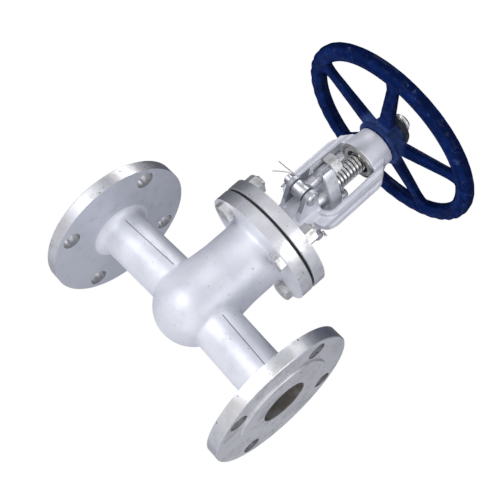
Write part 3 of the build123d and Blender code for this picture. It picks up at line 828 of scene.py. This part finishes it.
def hexagon(flats, low, high, slant_low, slant_high, bore=0.0, finish=None):
    """A finished nut or head about the stem axis, as an object in millimetre space."""
    bm = bmesh.new()
    corner = flats / 2 / cos(pi / 6)
    rod(bm, (0, 0, low), (0, 0, high), corner, segments=6)
    blank = rough_piece("blank", bm, [finish])
    barrel = bmesh.new()
    drop = (corner - flats / 2) * 0.85
    outline = [(0, low), (corner + 1, low)]
    if slant_low:
        outline = [(0, low), (flats / 2 - 0.4, low), (corner + 0.2, low + drop)]
    if slant_high:
        outline += [(corner + 0.2, high - drop), (flats / 2 - 0.4, high), (0, high)]
    else:
        outline += [(corner + 1, high), (0, high)]
    lathe(barrel, outline, steps=72)
    carve(blank, barrel, finish, "INTERSECT")
    if bore:
        drill = bmesh.new()
        wide = bore + 0.9
        lathe(drill, [(0, low - 1), (wide, low - 1), (wide, low), (bore, low + 0.9), (bore, high - 0.9),
                      (wide, high), (wide, high + 1), (0, high + 1)], steps=48)
        carve(blank, drill, finish)
    soften(blank, 0.25, 1, 25)
    return blank


def thread(bm, crest_r, depth, pitch, low, high, left_hand=False, steps=40, finish=0):
    """A threaded bar from low to high about the stem axis, with filled ends."""
    local = bmesh.new()
    root_r = crest_r - depth
    shoulder_r = crest_r - depth * 0.12
    shape = [(root_r, 0.0), (root_r, 0.10), (shoulder_r, 0.26), (crest_r, 0.31), (crest_r, 0.77),
             (shoulder_r, 0.82), (root_r, 0.98), (root_r, 1.0)]
    points = [local.verts.new((r, 0, low - pitch * 1.5 + part * pitch)) for r, part in shape]
    edges = [local.edges.new(pair) for pair in zip(points, points[1:])]
    turns = ceil((high - low) / pitch) + 2
    bmesh.ops.spin(
        local, geom=points + edges, cent=(0, 0, 0), axis=(0, 0, 1), dvec=(0, 0, pitch / steps),
        angle=2 * pi * turns * (-1 if left_hand else 1), steps=steps * turns)
    bmesh.ops.remove_doubles(local, verts=local.verts, dist=1e-3)
    for height, direction in ((low, -1), (high, 1)):
        geom = local.verts[:] + local.edges[:] + local.faces[:]
        bmesh.ops.bisect_plane(
            local, geom=geom, plane_co=(0, 0, height), plane_no=(0, 0, direction), clear_outer=True)
        open_edges = [e for e in local.edges if e.is_boundary]
        rim = [e for e in open_edges if all(abs(v.co.z - height) < 1e-3 for v in e.verts)]
        bmesh.ops.holes_fill(local, edges=rim, sides=0)
    absorb(bm, local, finish)


def add_copy(bm, piece, matrix):
    """Add a placed copy of a rough piece to a bmesh."""
    copy = piece.data.copy()
    copy.transform(matrix)
    bm.from_mesh(copy)
    bpy.data.meshes.remove(copy)


print("hexagons and threads ready")

# %% [markdown]
# ## Bonnet bolts and nuts
# Four M12 bolts clamp the joint, heads below and nuts above, with a few turns of thread standing
# out of each nut. One bolt and one nut are made, and copied round the bolt circle.

# %% Bonnet bolts
head = hexagon(18, 74, 81.5, True, False, finish=bright_zinc)
bolts_bm, nuts_bm = bmesh.new(), bmesh.new()
shank_bm = bmesh.new()
lathe(shank_bm, [(0, 80), (6, 80), (6, 104), (5.6, 104.4), (0, 104.4)], steps=32)
thread(shank_bm, 5.95, 0.85, 1.75, 104.2, 123.2, steps=28)
lathe(shank_bm, [(0, 123.1), (5.3, 123.1), (4.9, 124.0), (0, 124.0)], steps=32)
shank = rough_piece("shank", shank_bm, [bright_zinc])
nut = hexagon(18, 110.2, 121, False, True, bore=5.97, finish=bright_zinc)
for i, (x, y) in enumerate(around(JOINT_BOLT_R, 4, 45)):
    spot = Matrix.Translation((x, y, 0)) @ Matrix.Rotation(radians(45 + 90 * i), 4, "Z")
    for part in (head, shank):
        add_copy(bolts_bm, part, spot)
    add_copy(nuts_bm, nut, spot)
for part in (head, shank, nut):
    bpy.data.objects.remove(part)
bolt_set = rough_piece("bonnet_bolt_set", bolts_bm, [bright_zinc])
finish_piece(bolt_set, "root", ["bonnet_bolts"])
nut_set = rough_piece("bonnet_nut_set", nuts_bm, [bright_zinc])
finish_piece(nut_set, "root", ["bonnet_nuts"])

# %% Gasket
seal_bm = bmesh.new()
lathe(seal_bm, [(29.3, 95), (joint_r - 0.3, 95), (joint_r, 95.6), (joint_r - 0.15, 96.3), (joint_r, 97.0),
                (joint_r - 0.3, 97.6), (29.3, 97.6)], steps=128, closed=True)
seal = rough_piece("joint_gasket", seal_bm, [gasket_black])
holes = bmesh.new()
for x, y in around(JOINT_BOLT_R, 4, 45):
    rod(holes, (x, y, 94), (x, y, 99), 6.75)
carve(seal, holes, gasket_black)
finish_piece(seal, "root", ["bonnet_gasket"])

# %% [markdown]
# ## Stem and its nut
# The stem is turned from bar, with a button at the bottom that lifts the disc, a collar that seals
# upwards, and a left-hand trapezoidal thread, so that the wheel opens the valve anticlockwise.
# The stem nut turns inside the collar: it grips the stem with its bore and the wheel with a key.

# %% Stem
stem_bm = bmesh.new()
lathe(stem_bm, [(0, 22.2), (12.4, 22.2), (13.2, 23), (13.2, 30.7), (12.4, 31.5), (10, 31.5), (10, 60),
                (13, 60), (13, 66), (10, 69), (10, 170), (9.4, 170.6), (0, 170.6)], steps=72)
thread(stem_bm, 9.95, 2.15, 4.0, 170.3, 276.9, left_hand=True, steps=56)
lathe(stem_bm, [(0, 276.8), (8.4, 276.8), (7.4, 278.5), (0, 278.5)], steps=56)
finish_piece(rough_piece("threaded_stem", stem_bm, [stem_steel]), "stem", ["stem"])

# %% Stem nut and its ring
nut_bm = bmesh.new()
lathe(nut_bm, [(10.05, 217.6), (18.9, 217.6), (19.5, 218.2), (19.5, 221.9), (15, 221.9), (15, 261),
               (13.4, 261), (13.4, 270.3), (12.6, 270.3), (10.05, 269.6)], steps=96, closed=True)
finish_piece(rough_piece("turning_nut", nut_bm, [bronze]), "handwheel", ["stem_nut"])
ring_bm = bmesh.new()
lathe(ring_bm, [(13.4, 213.9), (13.9, 213.4), (17.6, 213.4), (18.0, 213.9), (18.0, 214.8), (18.9, 214.8),
                (18.9, 213.4), (19.3, 213), (20.2, 213), (20.6, 213.4), (20.6, 217.5), (13.4, 217.5)],
      steps=96, closed=True)
# Painted shade: a thin black band fills the gap between the ring and the stem, where shadow falls.
band = [(10.5, 216.6), (13.4, 216.6), (13.4, 217.5), (10.5, 217.5)]
lathe(ring_bm, band, steps=72, closed=True, finish=1)
ring = rough_piece("nut_retaining_ring", ring_bm, [ring_steel, oiled_black_and_gap_shade])
spanner_holes = bmesh.new()
for x, y in around(15.7, 2, 90):
    rod(spanner_holes, (x, y, 211), (x, y, 216), 1.4, segments=24)
carve(ring, spanner_holes, oiled_black_and_gap_shade)
finish_piece(ring, "root", ["retaining_ring"])

# %% [markdown]
# ## Gland
# The gland flange is an oval bar that pushes the bush down on the packing. Its outline is three
# circles joined by their tangents, its ends are slotted so that the bolts swing out, and each end is
# crowned. The bolts are eyebolts on hinge pins, so the packing can be changed without losing a nut.

# %% Gland flange
tilt_angle = degrees(asin((18.0 - 11.0) / PIN_Y))
outline = arc((0, PIN_Y), 11, tilt_angle, 180 - tilt_angle, 24)
outline += arc((0, 0), 18, 180 - tilt_angle, 180 + tilt_angle, 4)
outline += [(-x, -y) for x, y in outline]
oval = bmesh.new()
plate(oval, outline, 160, 180, "Z")
gland = rough_piece("gland_yoke", oval, [gland_steel])
crown_r = 175.5 - PIN_Z
side_bm = bmesh.new()
crown = [(60, 163)] + arc((PIN_Y, PIN_Z), crown_r, 50, 90, 10)
plate(side_bm, crown + [(-y, z) for y, z in reversed(crown)], -30, 30, "X")
carve(gland, side_bm, gland_steel, "INTERSECT")
slots = bmesh.new()
lathe(slots, [(0, 150), (10.6, 150), (10.6, 190), (0, 190)], steps=64)
for side in (-1, 1):
    notch = arc((0, PIN_Y), 6.6, 180, 360, 12) + [(6.6, 60), (-6.6, 60)]
    plate(slots, [(x, side * y) for x, y in notch], 150, 190, "Z")
carve(gland, slots, gland_steel)
soften(gland, 0.9, 3, 40)
finish_piece(gland, "root", ["gland_flange"])

# %% Gland bush
bush_bm = bmesh.new()
lathe(bush_bm, [(10.3, 133), (14.0, 133), (14.0, 163), (10.3, 163)], steps=64, closed=True)
finish_piece(rough_piece("gland_sleeve", bush_bm, [forged_steel]), "root", ["gland_bush"])

# %% Swing bolts, nuts, pins and split pins


def eye_bolt(name):
    """A forged eye and shank, melted together, then threaded and drilled for its pin."""
    bm = bmesh.new()
    rod(bm, (-6.9, -PIN_Y, PIN_Z), (6.9, -PIN_Y, PIN_Z), 8.6, segments=64)
    rod(bm, (0, -PIN_Y, PIN_Z), (0, -PIN_Y, 160), 6.2)
    bolt = rough_piece(name, bm, [forged_steel])
    melt(bolt, 0.5, 3)
    fit = bmesh.new()
    plate(fit, [(-60, 120), (0, 120), (0, 158.6), (-60, 158.6)], -6.7, 6.7, "X")
    carve(bolt, fit, forged_steel, "INTERSECT")
    pin_hole = bmesh.new()
    rod(pin_hole, (-12, -PIN_Y, PIN_Z), (12, -PIN_Y, PIN_Z), 5.05)
    carve(bolt, pin_hole, bored_steel)
    whole, upper = bmesh.new(), bmesh.new()
    whole.from_mesh(bolt.data)
    thread(upper, 5.95, 0.8, 1.75, 158.5, 192.5, steps=28)
    lathe(upper, [(0, 192.4), (6, 192.4), (6, 193.5), (5.1, 195.3), (3.4, 196.2), (0, 196.5)], steps=40)
    absorb(whole, upper, 0, Matrix.Translation((0, -PIN_Y, 0)))
    whole.to_mesh(bolt.data)
    whole.free()
    return bolt


def turned_about(piece, rear):
    """Turn a front gland piece half a turn to the rear."""
    if rear:
        piece.data.transform(Matrix.Rotation(pi, 4, "Z"))
    return piece


def hinge_pin(name):
    bm = bmesh.new()
    outline = [(0, -19.5), (4.4, -19.5), (5, -18.9), (5, 13), (7, 13), (7, 15.0), (6.5, 15.5), (0, 15.5)]
    lathe(bm, outline, axis="X", steps=48, centre=(0, -PIN_Y, PIN_Z))
    return rough_piece(name, bm, [forged_steel])


def split_pin(name, leg):
    """Soft wire bent double: a loop below, and two legs bent over above."""
    curve = bpy.data.curves.new(name, "CURVE")
    curve.dimensions = "3D"
    curve.bevel_depth = 0.48
    curve.bevel_resolution = 3
    curve.resolution_u = 8
    x, y, low_z, high_z = -16.5, -PIN_Y, 136.0, 149.0
    for side in (-1, 1):
        droop = leg * (0.30 + 0.22 * side)
        line = [
            (x, y, low_z - 4.2), (x, y + side * 2.6, low_z - 2.6), (x, y + side * 0.55, low_z),
            (x, y + side * 0.55, high_z - 1), (x - 0.2, y + side * 0.55, high_z + 0.3),
            (x - leg * 0.5, y + side * (0.55 + leg * 0.05), high_z - droop * 0.25),
            (x - leg, y + side * (0.55 + leg * 0.15), high_z - droop)]
        spline = curve.splines.new("NURBS")
        spline.points.add(len(line) - 1)
        for point, place in zip(spline.points, line):
            point.co = (*place, 1)
        spline.order_u = 3
        spline.use_endpoint_u = True
    curve.use_fill_caps = True
    wire = bpy.data.objects.new("wire", curve)
    scene.collection.objects.link(wire)
    mesh = bpy.data.meshes.new_from_object(wire.evaluated_get(bpy.context.evaluated_depsgraph_get()))
    bpy.data.objects.remove(wire)
    mesh.materials.clear()
    mesh.materials.append(wire_steel)
    piece = bpy.data.objects.new(name, mesh)
    scene.collection.objects.link(piece)
    return piece


for place, rear, leg in (("front", False, 20.0), ("rear", True, 6.0)):
    bolt = turned_about(eye_bolt(f"swing_bolt_{place}"), rear)
    finish_piece(bolt, f"gland_bolt_{place}", [f"gland_eyebolt_{place}"])
    gland_nut = hexagon(18, 175.6, 186.4, True, True, bore=5.97, finish=bright_zinc)
    gland_nut.name = f"swing_nut_{place}"
    gland_nut.data.transform(Matrix.Translation((0, -PIN_Y, 0)) @ Matrix.Rotation(radians(20), 4, "Z"))
    gland_nut = turned_about(gland_nut, rear)
    finish_piece(gland_nut, f"gland_bolt_{place}", [f"gland_nut_{place}"])
    pin = turned_about(hinge_pin(f"hinge_pin_{place}"), rear)
    finish_piece(pin, "root", [f"gland_pin_{place}"])
    cotter = turned_about(split_pin(f"cotter_{place}", leg), rear)
    finish_piece(cotter, "root", [f"split_pin_{place}"])

# %% [markdown]
# ## Handwheel
# The wheel is an iron casting: a rim of rounded section with shallow finger bumps under its outer
# edge, five tapering arms that spread where they meet the rim, and a hub. The arms start as a cube,
# cut across into short lengths that are widened or narrowed one by one, and all of it is melted.

# %% Handwheel pattern
wheel_r = reach("handwheel")[0]
RIM_Z = 256.5
wheel_bm = bmesh.new()
rim = [(0, -7), (5.6, -6.5), (8.8, -4.2), (9.6, 0), (8.8, 4.2), (5.6, 6.6), (0, 7), (-4.6, 6.6),
       (-7.6, 4.2), (-8.2, 0), (-7.6, -4.2), (-4.6, -6.5)]
middle_r = wheel_r - 9.6
lathe(wheel_bm, [(middle_r + u, RIM_Z + v) for u, v in rim], steps=240, closed=True)
for vert in wheel_bm.verts:
    outward = Vector((vert.co.x, vert.co.y, 0))
    share = max(0.0, (outward.length - middle_r) / 9.6) * min(1.0, max(0.15, (RIM_Z + 3 - vert.co.z) / 7))
    wave = 0.5 + 0.5 * cos(40 * atan2(vert.co.y, vert.co.x))
    vert.co -= outward.normalized() * share * 1.5 * wave
lathe(wheel_bm, [(0, 241.5), (25.5, 241.5), (25.5, 245.2), (24.6, 246), (19.5, 247.5), (19, 261), (0, 261)])
for i in range(5):
    arm = bmesh.new()
    bmesh.ops.create_cube(arm, size=1)
    lengthwise = [e for e in arm.edges if abs(e.verts[0].co.x - e.verts[1].co.x) > 0.01]
    bmesh.ops.subdivide_edges(arm, edges=lengthwise, cuts=11)
    lengthwise = [e for e in arm.edges if abs(e.verts[0].co.x - e.verts[1].co.x) > 0.01]
    bmesh.ops.bevel(
        arm, geom=lengthwise, offset=0.22, segments=3, affect="EDGES", profile=0.5, material=-1)
    for vert in arm.verts:
        t = vert.co.x + 0.5
        width = 17.0 - 6.5 * t + 13.0 * max(0.0, (t - 0.80) / 0.20) ** 2
        height = 9.5 - 2.0 * t
        vert.co = Vector((12 + t * 82.0, vert.co.y * width, 250.5 + 6.0 * t + vert.co.z * height))
    absorb(wheel_bm, arm, 0, Matrix.Rotation(radians(57 + 72 * i), 4, "Z"))
wheel = rough_piece("spoked_handwheel", wheel_bm, [enamel])
melt(wheel, 1.0, 4)
turned_hub = bmesh.new()
lathe(turned_hub, [(0, 241.5), (150, 241.5), (150, 264), (22, 264), (22, 261), (0, 261)], steps=96)
carve(wheel, turned_hub, joint_steel, "INTERSECT")
hub_bore = bmesh.new()
lathe(hub_bore, [(0, 238), (15, 238), (15, 264), (0, 264)], steps=64)
carve(wheel, hub_bore, joint_steel)
finish_piece(wheel, "handwheel", ["handwheel"])

# %% Wheel nut and washer
washer_bm = bmesh.new()
section = [(13.8, 261), (18.1, 261), (18.5, 261.4), (18.5, 262.8), (18.1, 263.2), (13.8, 263.2)]
lathe(washer_bm, section, steps=64, closed=True)
hub_washer = rough_piece("hub_washer", washer_bm, [oiled_black_and_gap_shade])
finish_piece(hub_washer, "handwheel", ["wheel_washer"])
hub_nut = hexagon(32, 263.2, 269.5, False, True, bore=13.45, finish=oiled_black_and_gap_shade)
hub_nut.name = "hub_nut"
finish_piece(hub_nut, "handwheel", ["wheel_nut"])

# %% [markdown]
# ## Inner parts
# The seat, disc, packing and bushes are hidden when the valve is shut, but they belong to the
# object, so they keep their exact solids and only get a finish.

# %% Finishes of the inner parts
inner_finishes = {
    "seat_ring": seat_alloy, "valve_disc": seat_alloy, "disc_nut": stem_steel, "backseat_bush": seat_alloy,
    "packing_washer": bored_steel, "thrust_washer": bronze, "wheel_key": bored_steel,
    "packing_ring_1": packing_braid, "packing_ring_2": packing_braid, "packing_ring_3": packing_braid,
    "packing_ring_4": packing_braid,
}
for node, finish in inner_finishes.items():
    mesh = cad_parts[node].data
    mesh.materials.clear()
    mesh.materials.append(finish)
print(len(inner_finishes), "inner parts finished")
